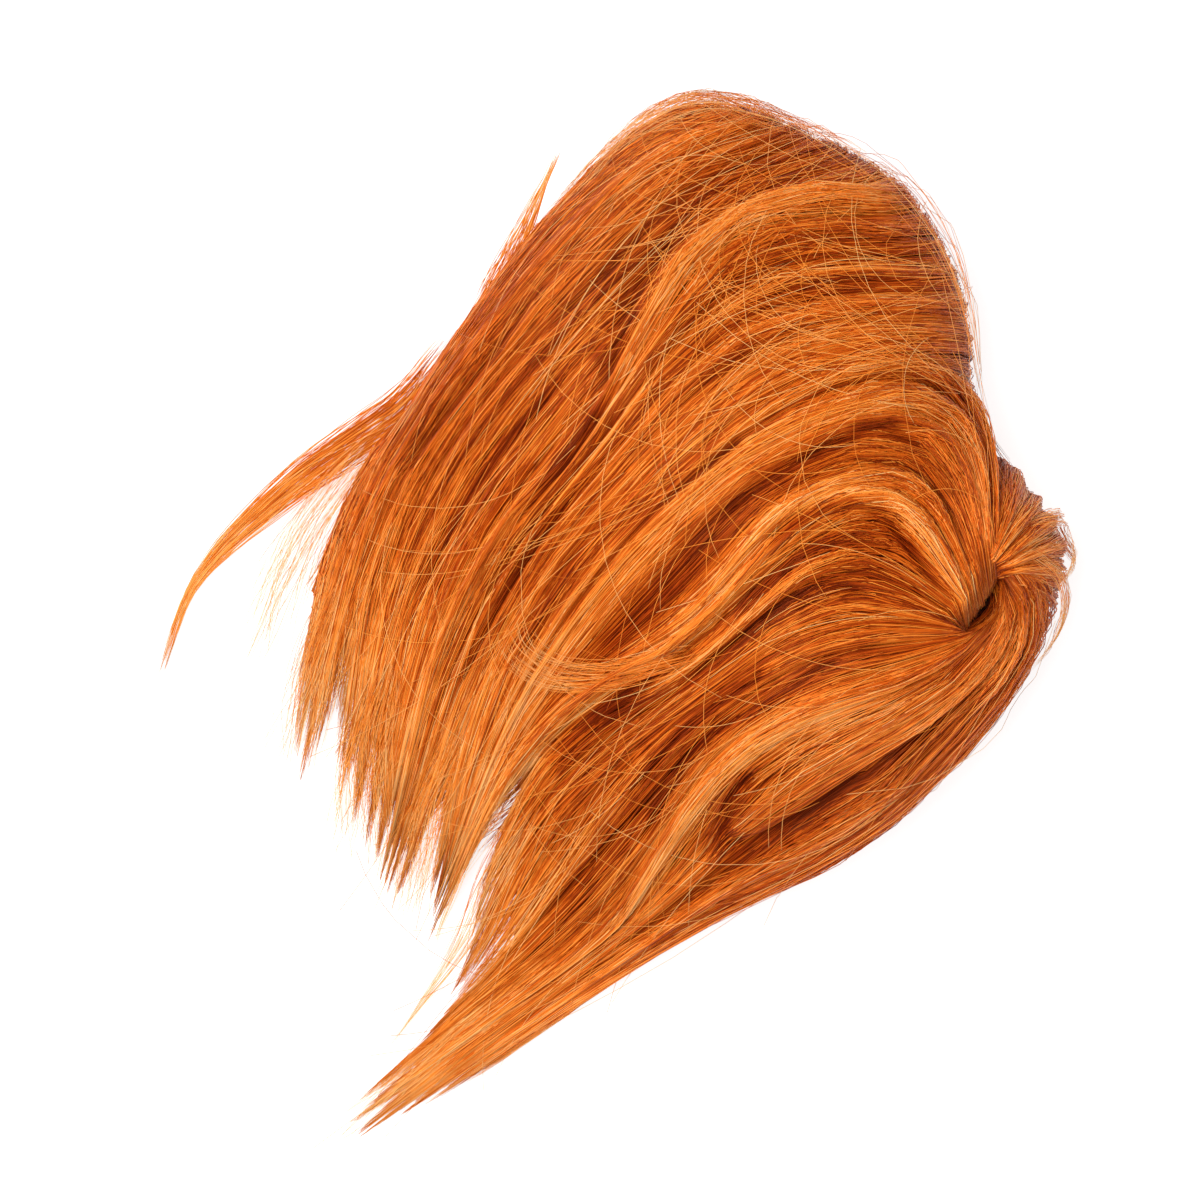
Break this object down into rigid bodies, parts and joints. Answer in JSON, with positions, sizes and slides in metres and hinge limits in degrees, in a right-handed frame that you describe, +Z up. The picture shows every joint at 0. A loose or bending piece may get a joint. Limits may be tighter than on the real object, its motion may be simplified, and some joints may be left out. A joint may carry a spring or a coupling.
{
  "type": "short side-parted wig",
  "caption": "Short straight copper-orange wig with a side part and a long swept fringe, lying on its back, its net cap hollow and open to the neck.",
  "frame": {"origin": "middle of the base on the table, under the middle of the whole outline", "axes": "+Z up off the table to the face side, +Y towards the crown, +X towards the side that has the part"},
  "size_m": [0.246, 0.3416, 0.098],
  "materials": {
    "hair": "straight synthetic fibre with a soft lengthwise gloss",
    "cap": "matt elastic net"
  },
  "bodies": {
    "root": {"wig_cap": "cap", "back_hair": "hair", "left_side_hair": "hair", "crown_sweep_hair": "hair", "fringe_hair": "hair", "right_side_hair": "hair", "crown_back_hair": "hair", "left_tail_lock": "hair", "flick_lock": "hair", "cross_lock": "hair"}
  },
  "joints": []
}
